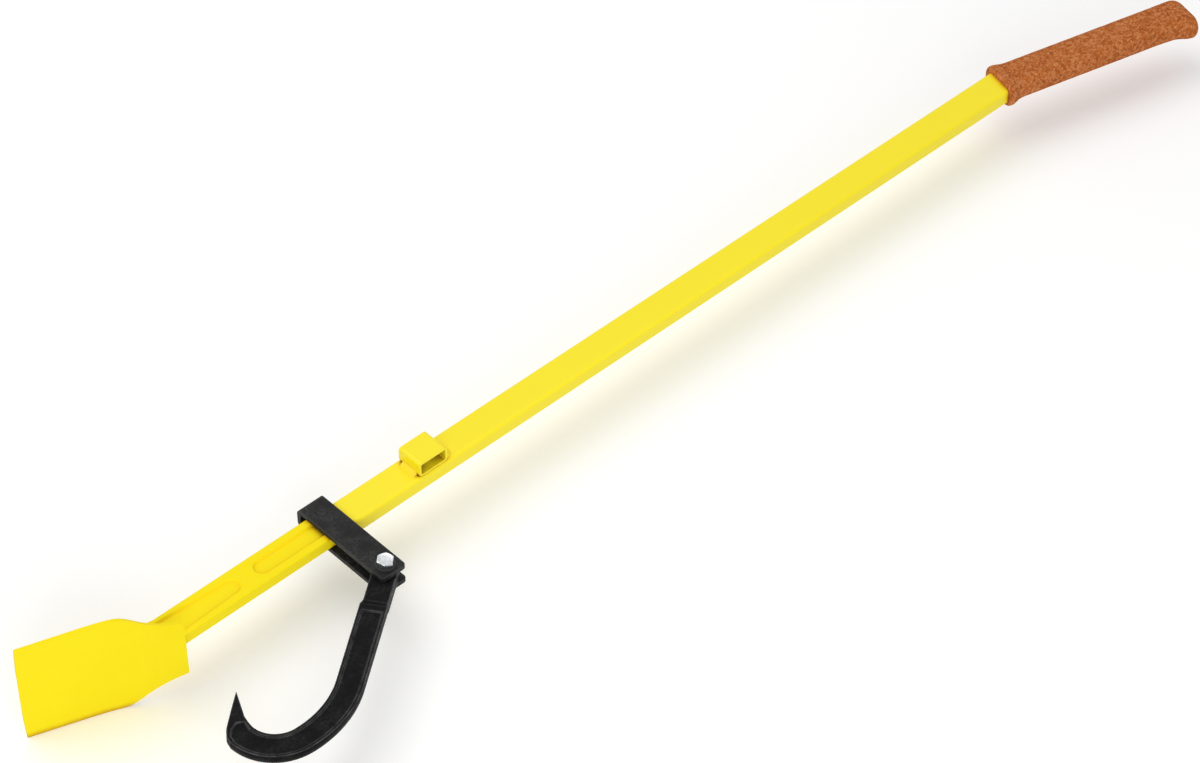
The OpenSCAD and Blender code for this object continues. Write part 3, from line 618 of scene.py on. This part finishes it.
def cork_rubber():
    """Ground cork and rubber: grains of several browns, dark seams, open rough surface."""
    tones = bpy.context.scene.lever_colours
    material, tree, surface, place = new_finish("cork_rubber", specular=0.05)
    grains = use_group(tree, "cork_grains", 0, place, Scale=540.0)
    chips = use_group(tree, "cork_grains", 1, place, Scale=360.0)
    broad = use_group(tree, "broad_tone", 2, place, Scale=26.0, Spread=0.8)
    fine = use_group(tree, "fine_grain", 3, place, Scale=1500.0, Contrast=1.8)
    edge_mask = use_group(tree, "edge_rub_and_highlight", 4, place, Radius=1.8 * MM, Gain=3.0, Breakup=90.0)
    warm = calc(tree, 1, 0, "MULTIPLY_ADD", broad["Tone"], 0.45,
                calc(tree, 1, 1, "MULTIPLY", grains["Tone"], 0.62), clamp=True)
    pale = ramp(tree, 1, 2, warm, 0.50, 0.92)
    deep = ramp(tree, 1, 3, warm, 0.08, 0.46, 1.0, 0.0)
    large = ramp(tree, 1, 4, chips["Tone"], 0.78, 0.92)
    light, dark = tones.cork_light, tones.cork_dark
    set_surface(tree, surface,
                tinted(tree, 2, tones.cork, (pale, 0.90, light), (deep, 0.90, dark),
                       (large, 0.6, light), (grains["Seam"], 0.45, dark),
                       (edge_mask["Mask"], 0.25, light)),
                0.76, (grains["Tone"], 0.14))
    relief = calc(tree, 3, 5, "MULTIPLY_ADD", fine["Height"], 0.5, grains["Height"])
    add_bump(tree, surface, relief, 0.12 * MM)
    return material


def floor_finish():
    """Pale floor: white to the camera, a little darker as a source of bounced light."""
    tones = bpy.context.scene.lever_colours
    material, tree, surface, _ = new_finish("floor_finish", specular=0.0)
    seen = seen_directly(tree)
    set_surface(tree, surface, blend_colour(tree, 4, 0, seen, tones.floor, WHITE), 1.0)
    feed(tree, surface["Emission Color"], blend_colour(tree, 4, 1, seen, BLACK, WHITE))
    feed(tree, surface["Emission Strength"], 0.10)
    return material


FINISH_MAKERS = {
    # The blade's larger depth keeps its coat darker than the bar's: painted shade on one and the
    # same paint, besides a wider wander of tone
    "blade_coat": lambda: powder_coat("blade_coat", bpy.context.scene.lever_wear.blade_chips,
                                      waviness=0.30 * MM, gloss=0.06, depth=0.75),
    "bar_coat": lambda: powder_coat("bar_coat", bpy.context.scene.lever_wear.bar_chips,
                                    waviness=0.0, gloss=0.36, depth=0.30),
    "black_strap": black_strap,
    "forged_skin": forged_skin,
    "zinc_plate": zinc_plate,
    "black_washer": black_washer,
    "ring_plastic": ring_plastic,
    "cork_rubber": cork_rubber,
    "floor_finish": floor_finish,
}


def finish_of(name):
    """The named finish, made the first time it is asked for."""
    return bpy.data.materials.get(FINISH_PREFIX + name) or FINISH_MAKERS[name]()


def dress_node(name, finish, radius, sharp=28.0):
    """Gives a CAD node a finish and rounded edges. Its mesh and place stay as they are."""
    node = NODES[name]
    for slot in node.material_slots:
        slot.material = finish_of(finish)
    weld = node.modifiers.new("join_faces", "WELD")
    weld.merge_threshold = 0.002 * MM
    bevel = node.modifiers.new("round_edges", "BEVEL")
    bevel.width = radius
    bevel.segments = 3
    bevel.limit_method = "ANGLE"
    bevel.angle_limit = math.radians(sharp)
    bevel.harden_normals = True


def skin_rings(rings):
    """Vertices and faces of a skin over rings of equal length, with a fan over each end."""
    count = len(rings[0])
    vertices = [v for ring in rings for v in ring]
    faces = []
    for start in range(0, (len(rings) - 1) * count, count):
        for i in range(count):
            j = (i + 1) % count
            faces.append((start + i, start + j, start + count + j, start + count + i))
    for start, ring in ((0, rings[0]), ((len(rings) - 1) * count, rings[-1])):
        hub = len(vertices)
        vertices.append(sum((Vector(v) for v in ring), Vector()) / count)
        faces += [(start + i, start + (i + 1) % count, hub) for i in range(count)]
    return vertices, faces


def make_piece(name, rings, finish, body, replaced, sharp):
    """A new piece skinned over rings. It stands for a CAD node and rides on a body."""
    vertices, faces = skin_rings(rings)
    mesh = bpy.data.meshes.new(name)
    mesh.from_pydata([tuple(v) for v in vertices], [], faces)
    build = bmesh.new()
    build.from_mesh(mesh)
    bmesh.ops.remove_doubles(build, verts=build.verts, dist=0.001 * MM)
    bmesh.ops.recalc_face_normals(build, faces=build.faces)
    build.to_mesh(mesh)
    build.free()
    mesh.validate()
    mesh.polygons.foreach_set("use_smooth", [True] * len(mesh.polygons))
    mesh.set_sharp_from_angle(angle=math.radians(sharp))
    piece = bpy.data.objects.new(name, mesh)
    bpy.context.scene.collection.objects.link(piece)
    mesh.materials.append(finish_of(finish))
    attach(piece, body)
    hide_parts(replaced)


def hex_radius(turn):
    """Distance from the axis to the side of the bolt's head, at an angle from a flat's middle."""
    sixth = math.tau / 6
    off = math.fmod(turn + math.tau, sixth)
    off = off if off <= sixth / 2 else off - sixth
    return HEAD_ACROSS / 2 / math.cos(off)


def thread_radius(turn, z, pitch):
    """Outer radius of the bolt's right-hand thread at an angle and a height."""
    wave = (z / pitch - turn / math.tau) % 1.0
    flank = min(1.0, abs(wave - 0.5) * 2 / THREAD_FLANK)
    return BOLT_RADIUS - THREAD_DEPTH * pitch * (1 - flank)


def bolt_rings(pitch):
    """Rings of the pivot bolt from its threaded point up to the crown of its head."""
    low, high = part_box("pivot_bolt")
    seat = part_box("head_washer")[1].z
    axis = PIVOT.to_2d().to_3d()
    turns = [HEAD_TURN + math.tau * i / BOLT_SIDES for i in range(BOLT_SIDES)]
    rings = []

    def ring(z, size):
        rings.append([axis + Vector((size(t) * math.cos(t), size(t) * math.sin(t), z))
                      for t in turns])

    def head(turn):
        return hex_radius(turn - HEAD_TURN)

    steps = round(THREADED / (pitch / RINGS_PER_PITCH))
    for i in range(steps + 1):
        z = low.z + THREADED * i / steps
        point = BOLT_RADIUS - POINT_CHAMFER + (z - low.z)
        ring(z, lambda t: min(point, thread_radius(t, z, pitch)))
    shank = BOLT_RADIUS - SHANK_PLAY
    ring(low.z + THREADED + THREAD_RUNOUT, lambda t: shank)
    ring(seat, lambda t: shank)
    face = HEAD_ACROSS / 2 - FACE_INSET
    ring(seat, lambda t: face)
    ring(seat + FACE_HEIGHT, lambda t: face)
    for height, inset in HEAD_EDGE:
        ring(seat + height, lambda t: head(t) - inset)

    # The chamfer cuts the head's corners as a flat cone
    corner = HEAD_ACROSS / 2 / math.cos(math.radians(30))
    start = high.z - (corner - HEAD_ACROSS / 2) / 2
    for i in range(CHAMFER_STEPS + 1):
        z = start + (high.z - start) * i / CHAMFER_STEPS
        cone = corner - (z - start) * 2
        ring(z, lambda t: min(cone, head(t)))
    for radius, drop in CROWN:
        ring(high.z - drop, lambda t: radius)
    return rings


def at_bar(x, y, z):
    """A point from lengths in millimetres along, across and square to the bar."""
    return BAR + Vector((x, y, z)) * MM


def bead_outline(leg, dir):
    """Outline of a weld's cross section from its toe on the bar up to the loop's wall."""
    face = []
    for i in range(BEAD_POINTS + 1):
        u = i / BEAD_POINTS
        bulge = DIAGONAL * BEAD_BULGE * leg * math.sin(math.pi * u)
        face.append((dir * leg * (1 - u) ** 1.25 + dir * bulge,
                     BEAD_TOP * leg * u ** 1.1 * (0.72 + 0.28 * u) + bulge))
    return face


def ripple_at(y, u, sizes):
    """Rise of a weld's ripples in millimetres, at a length along it and a share of its face.
    They are crescents that lag in the middle, each with one steep side."""
    phase = (y + RIPPLE_LAG * (1 - (2 * u - 1) ** 2)) * MM / sizes.ripple_pitch
    rise = (phase % 1.0) ** RIPPLE_STEEP - RIPPLE_LEVEL
    return rise * sizes.ripple_height / MM * math.sin(math.pi * u)


def weld_bead(name, foot, leg, dir, half, sizes):
    """A rippled fillet weld between the tube and one foot of the stop loop. Foot, leg and half
    width are in millimetres, and dir says to which side of the loop it lies."""
    bar_top = BAR_HALF_T / MM
    round_end = min(BEAD_END * leg, half * 0.45)
    outline = bead_outline(leg, dir)
    rings = []
    for k in range(BEAD_STEPS + 1):
        y = -half + 2 * half * k / BEAD_STEPS
        inside = max(0.0, (abs(y) - (half - round_end)) / round_end)
        grow = max(0.06, math.sqrt(max(0.0, 1 - inside ** 2)))
        wander = noise.noise(Vector((y * 0.22, foot * 0.1, leg)))
        size = grow * (1 + 0.06 * wander)
        ring = []
        for i, (dx, dz) in enumerate(outline):
            ripple = ripple_at(y, i / BEAD_POINTS, sizes) * DIAGONAL * min(1.0, grow * 1.6)
            ring.append(at_bar(foot + dx * size + dir * ripple, y,
                               bar_top + max(0.0, dz * size + ripple)))
        ring.append(at_bar(foot - dir * FOOT_OVERLAP, y,
                           bar_top + max(BEAD_TOP * leg * grow, 0.4)))

        # Behind its face the weld follows the loop's rounded foot down to the bar
        for angle in (20, 45, 70, 90):
            a = math.radians(angle)
            ring.append(at_bar(foot - dir * FOOT_RADIUS * (1 - math.cos(a)), y,
                               bar_top + FOOT_RADIUS * (1 - math.sin(a)) * grow))
        rings.append(ring)
    make_piece(name + "_bead", rings, "bar_coat", "lever", name, sharp=60.0)


def grip_profile(sizes):
    """Stations along the grip in millimetres: place, growth above, growth on the near side
    and growth in thickness."""
    flare, lip = sizes.collar_flare / MM, sizes.collar_lip / MM
    pommel = sizes.pommel_flare / MM
    return [(GRIP_START, 0.3 * flare, 0.6 * lip, 0.3 * flare),
            (-8.5, 0.9 * flare, 0.95 * lip, 0.9 * flare),
            (-6, flare, lip, flare),
            (-2, 0.7 * flare, 0.7 * lip, 0.7 * flare),
            (3, 0.2 * flare, 0.2 * lip, 0.2 * flare),
            (10, 0, 0, 0),
            (80, 0, 0, 0),
            (153, 0, 0, 0),
            (174, 0, 0.12 * pommel, 0),
            (183, 0, 0.5 * pommel, 0.2),
            (189, -0.2, 0.88 * pommel, 0.4),
            (193, -1.2, pommel, 0.2),
            (196, -3.4, 0.85 * pommel, -0.8),
            (198, -6.5, 0.4 * pommel, -2.8),
            (199, -9.5, -0.3 * pommel, -5.2)]


def smooth_value(keys, column, x):
    """Value of one column of the stations at x, on a curve that doesn't overshoot."""
    last = len(keys) - 1

    def slope(a, b):
        return (keys[b][column] - keys[a][column]) / (keys[b][0] - keys[a][0])

    for i in range(last):
        if keys[i][0] <= x <= keys[i + 1][0]:
            break
    slopes = []
    for j in (i, i + 1):
        if j in (0, last):
            slopes.append(slope(j, 1 if j == 0 else last - 1))
            continue
        before, after = slope(j - 1, j), slope(j, j + 1)
        slopes.append(0.0 if before * after <= 0 else 2 * before * after / (before + after))
    gap = keys[i + 1][0] - keys[i][0]
    t = (x - keys[i][0]) / gap
    a, b = keys[i][column], keys[i + 1][column]
    return ((2 * t ** 3 - 3 * t ** 2 + 1) * a + (t ** 3 - 2 * t ** 2 + t) * gap * slopes[0]
            + (3 * t ** 2 - 2 * t ** 3) * b + (t ** 3 - t ** 2) * gap * slopes[1])


def rounded_outline(up, down, half, radius, steps=15):
    """Rounded rectangle from -down to up across, and from -half to half in thickness."""
    points = []
    for quarter in range(4):
        y = (up - radius) if quarter in (0, 3) else (radius - down)
        z = (half - radius) if quarter < 2 else (radius - half)
        for i in range(steps):
            a = math.radians(90 * (quarter + i / (steps - 1)))
            points.append((y + radius * math.cos(a), z + radius * math.sin(a)))
    return points


def grip_skin(sizes):
    """Rings round the outside of the grip from its mouth to the pommel."""
    keys = grip_profile(sizes)
    half_w, half_t = ((half + sizes.grip_wall) / MM for half in (BAR_HALF_W, BAR_HALF_T))
    rings = []
    for s in (start + step * i for start, step, count in GRIP_RUNS for i in range(count)):
        up, down, thick = (smooth_value(keys, column, s) for column in (1, 2, 3))
        half = half_t + thick
        fade = min(1.0, max(0.0, (s - ROUGH_FROM) / ROUGH_OVER))
        ring = []
        for y, z in rounded_outline(half_w + up, half_w + down, half,
                                    min(GRIP_CORNER, half - 0.3)):
            point = BEND_CORNER + ALONG * s + ACROSS * y + SQUARE * z
            out = (ACROSS * y + SQUARE * z * 1.5).normalized()
            rough = noise.fractal(point * 0.16, 1.0, 2.0, 3) * sizes.grip_unevenness / MM
            ring.append(point + out * rough * fade)
        rings.append(ring)
    return rings


def grip_bore():
    """Rings round the tube inside the grip, from the start of the bend to the tube's end."""
    start = BEND_CORNER.x - BEND_RADIUS * math.tan(BEND / 2)
    path = []
    for i in range(6):
        turn = BEND * i / 5
        path.append((Vector((start + BEND_RADIUS * math.sin(turn),
                             BEND_RADIUS * (math.cos(turn) - 1), 0)), turn))
    path += [(BEND_CORNER + ALONG * reach, BEND) for reach in BORE_RINGS]
    wide, thick = (half / MM + BORE_PLAY for half in (BAR_HALF_W, BAR_HALF_T))
    outline = rounded_outline(wide, wide, thick, BORE_CORNER)
    rings = []
    for place, turn in path:
        side = Vector((math.sin(turn), math.cos(turn), 0))
        rings.append([place + side * y + SQUARE * z for y, z in outline])
    return rings


def grip_rings(sizes):
    """Rings of the grip: out of its bore, over the collar, along the outside to the pommel."""
    skin, bore = grip_skin(sizes), grip_bore()
    front, tail = skin[0], skin[-1]
    middle = sum(tail, Vector()) / len(tail)
    dome = [[middle + (v - middle) * size + ALONG * rise for v in tail]
            for size, rise in DOME]
    face = BEND_CORNER + ALONG * GRIP_START
    mouth = [point + Vector(((face - point).dot(ALONG) / ALONG.x, 0, 0)) for point in bore[0]]
    inside = [ring for ring in bore if all((p - face).dot(ALONG) > 0.5 for p in ring)]
    lip = [m + (v - m).normalized() * min(0.5, (v - m).length) + ALONG * 0.12
           for m, v in zip(mouth, front)]
    rim = [v + (m - v).normalized() * 0.7 - ALONG * 0.22 for m, v in zip(mouth, front)]
    order = [*reversed(inside), mouth, lip, rim, *skin, *dome]
    return [[BAR + point * MM for point in ring] for ring in order]


def lay_floor(scene):
    """A square floor under the lever."""
    half = scene.lever_sizes.floor_size / 2
    mesh = bpy.data.meshes.new("floor")
    mesh.from_pydata([(-half, -half, 0), (half, -half, 0), (half, half, 0),
                      (-half, half, 0)], [], [(0, 1, 2, 3)])
    mesh.materials.append(finish_of("floor_finish"))
    floor = bpy.data.objects.new("floor", mesh)
    scene.collection.objects.link(floor)


def hang_lamp(scene, name, spot, width, energy):
    """A round soft lamp that points at the middle of the lever."""
    lamp = bpy.data.lights.new(name, "AREA")
    lamp.shape = "DISK"
    lamp.size = width
    lamp.energy = energy
    lamp_object = bpy.data.objects.new(name, lamp)
    lamp_object.location = spot
    aim = Vector((0.0, 0.0, MIDDLE_Z)) - spot
    lamp_object.rotation_euler = aim.to_track_quat("-Z", "Y").to_euler()
    scene.collection.objects.link(lamp_object)


def light_surroundings(scene):
    """Even light from all round, white where the camera sees it."""
    sky = scene.lever_wear.sky
    world = bpy.data.worlds.new("studio")
    scene.world = world
    world.use_nodes = True
    tree = world.node_tree
    tree.nodes.clear()
    strength = calc(tree, 3, 0, "MULTIPLY_ADD", seen_directly(tree), 1.0 - sky, sky)
    light = put(tree, "ShaderNodeBackground", 4, 0, Color=WHITE, Strength=strength)
    put(tree, "ShaderNodeOutputWorld", 5, 0, Surface=light.outputs["Background"])


def set_camera(scene):
    """The photograph's camera."""
    view = bpy.data.cameras.new("photo_camera")
    view.lens = CAMERA_LENS
    view.sensor_width = 36.0
    view.sensor_fit = "HORIZONTAL"
    view.clip_end = 60.0
    camera = bpy.data.objects.new("photo_camera", view)
    camera.location = BAR + CAMERA_FROM_BAR
    camera.rotation_euler = (CAMERA_TILT, 0.0, CAMERA_TURN)
    scene.collection.objects.link(camera)
    scene.camera = camera
    scene.view_settings.view_transform = "Standard"


class LEVER_OT_stage(bpy.types.Operator):
    """Sets the pale floor, the soft lamps, the even surroundings and the camera"""

    bl_idname = "lever.stage"
    bl_label = "Stage"

    def execute(self, context):
        scene = context.scene
        lay_floor(scene)
        hang_lamp(scene, "key_lamp", *KEY_LAMP, scene.lever_wear.key)
        hang_lamp(scene, "fill_lamp", *FILL_LAMP, scene.lever_wear.fill)
        light_surroundings(scene)
        set_camera(scene)
        return {"FINISHED"}


class LEVER_OT_painted_steel(bpy.types.Operator):
    """Coats the forged blade, the tube and the stop loop and rounds their edges"""

    bl_idname = "lever.painted_steel"
    bl_label = "Painted steel"

    def execute(self, context):
        sizes = context.scene.lever_sizes
        dress_node("blade", "blade_coat", sizes.blade_round)
        dress_node("tube", "bar_coat", sizes.tube_round)
        dress_node("stop_loop", "bar_coat", sizes.tube_round)
        return {"FINISHED"}


class LEVER_OT_weld_beads(bpy.types.Operator):
    """Lays the two rippled weld beads at the feet of the stop loop"""

    bl_idname = "lever.weld_beads"
    bl_label = "Weld beads"

    def execute(self, context):
        sizes = context.scene.lever_sizes
        loop_low, loop_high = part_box("stop_loop")
        for name, foot, dir in (("loop_weld_front", loop_low.x, -1),
                                ("loop_weld_rear", loop_high.x, 1)):
            low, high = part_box(name)
            toe = low.x if dir < 0 else high.x
            weld_bead(name, (foot - BAR.x) / MM, abs(toe - foot) / MM, dir,
                      (high.y - low.y) / 2 / MM, sizes)
        return {"FINISHED"}


class LEVER_OT_shackle(bpy.types.Operator):
    """Blackens the strap and the washers and finishes the lock nut and its ring"""

    bl_idname = "lever.shackle"
    bl_label = "Shackle and nut"

    def execute(self, context):
        sizes = context.scene.lever_sizes
        dress_node("shackle", "black_strap", sizes.strap_round)
        dress_node("head_washer", "black_washer", sizes.small_round)
        dress_node("nut_washer", "black_washer", sizes.small_round)
        dress_node("lock_nut", "zinc_plate", sizes.small_round)
        dress_node("nut_insert", "ring_plastic", sizes.small_round)
        return {"FINISHED"}


class LEVER_OT_pivot_bolt(bpy.types.Operator):
    """Turns the hexagon bolt with its chamfered head and rolled thread"""

    bl_idname = "lever.pivot_bolt"
    bl_label = "Pivot bolt"

    def execute(self, context):
        rings = bolt_rings(context.scene.lever_sizes.thread_pitch)
        make_piece("hexagon_bolt", rings, "zinc_plate", "shackle",
                   "pivot_bolt", sharp=24.0)
        return {"FINISHED"}


class LEVER_OT_hook(bpy.types.Operator):
    """Gives the forged hook its skin and rounds its edges"""

    bl_idname = "lever.hook"
    bl_label = "Hook"

    def execute(self, context):
        dress_node("hook", "forged_skin", context.scene.lever_sizes.hook_round, sharp=24.0)
        return {"FINISHED"}


class LEVER_OT_grip(bpy.types.Operator):
    """Moulds the cork grip over the end of the tube"""

    bl_idname = "lever.grip"
    bl_label = "Cork grip"

    def execute(self, context):
        rings = grip_rings(context.scene.lever_sizes)
        make_piece("cork_grip", rings, "cork_rubber", "lever", "grip",
                   sharp=50.0)
        return {"FINISHED"}


class LEVER_PT_panel(bpy.types.Panel):
    """Sizes, colours, wear and light of the lever, and the pieces in their order"""

    bl_idname = "LEVER_PT_panel"
    bl_label = "Felling Lever"
    bl_space_type = "VIEW_3D"
    bl_region_type = "UI"
    bl_category = "Lever"

    def draw(self, context):
        layout = self.layout
        scene = context.scene
        for title, group in (("Sizes", scene.lever_sizes), ("Colours", scene.lever_colours),
                             ("Wear and light", scene.lever_wear)):
            box = layout.box()
            box.label(text=title)
            for name in group.bl_rna.properties.keys():
                if name not in {"rna_type", "name"}:
                    box.prop(group, name)
        column = layout.column(align=True)
        for operator in OPERATORS:
            column.operator(operator.bl_idname)


OPERATORS = (LEVER_OT_stage, LEVER_OT_painted_steel, LEVER_OT_weld_beads, LEVER_OT_shackle,
             LEVER_OT_pivot_bolt, LEVER_OT_hook, LEVER_OT_grip)
CLASSES = (LeverSizes, LeverColours, LeverWear, *OPERATORS, LEVER_PT_panel)


def register():
    """Registers the classes and hangs the property groups on the scene."""
    for cls in CLASSES:
        bpy.utils.register_class(cls)
    bpy.types.Scene.lever_sizes = bpy.props.PointerProperty(type=LeverSizes)
    bpy.types.Scene.lever_colours = bpy.props.PointerProperty(type=LeverColours)
    bpy.types.Scene.lever_wear = bpy.props.PointerProperty(type=LeverWear)


def unregister():
    """Takes the property groups and the classes away again."""
    del bpy.types.Scene.lever_wear
    del bpy.types.Scene.lever_colours
    del bpy.types.Scene.lever_sizes
    for cls in reversed(CLASSES):
        bpy.utils.unregister_class(cls)


def main():
    register()
    bpy.ops.lever.stage()
    bpy.ops.lever.painted_steel()
    bpy.ops.lever.weld_beads()
    bpy.ops.lever.shackle()
    bpy.ops.lever.pivot_bolt()
    bpy.ops.lever.hook()
    bpy.ops.lever.grip()


if __name__ == "__main__":
    main()
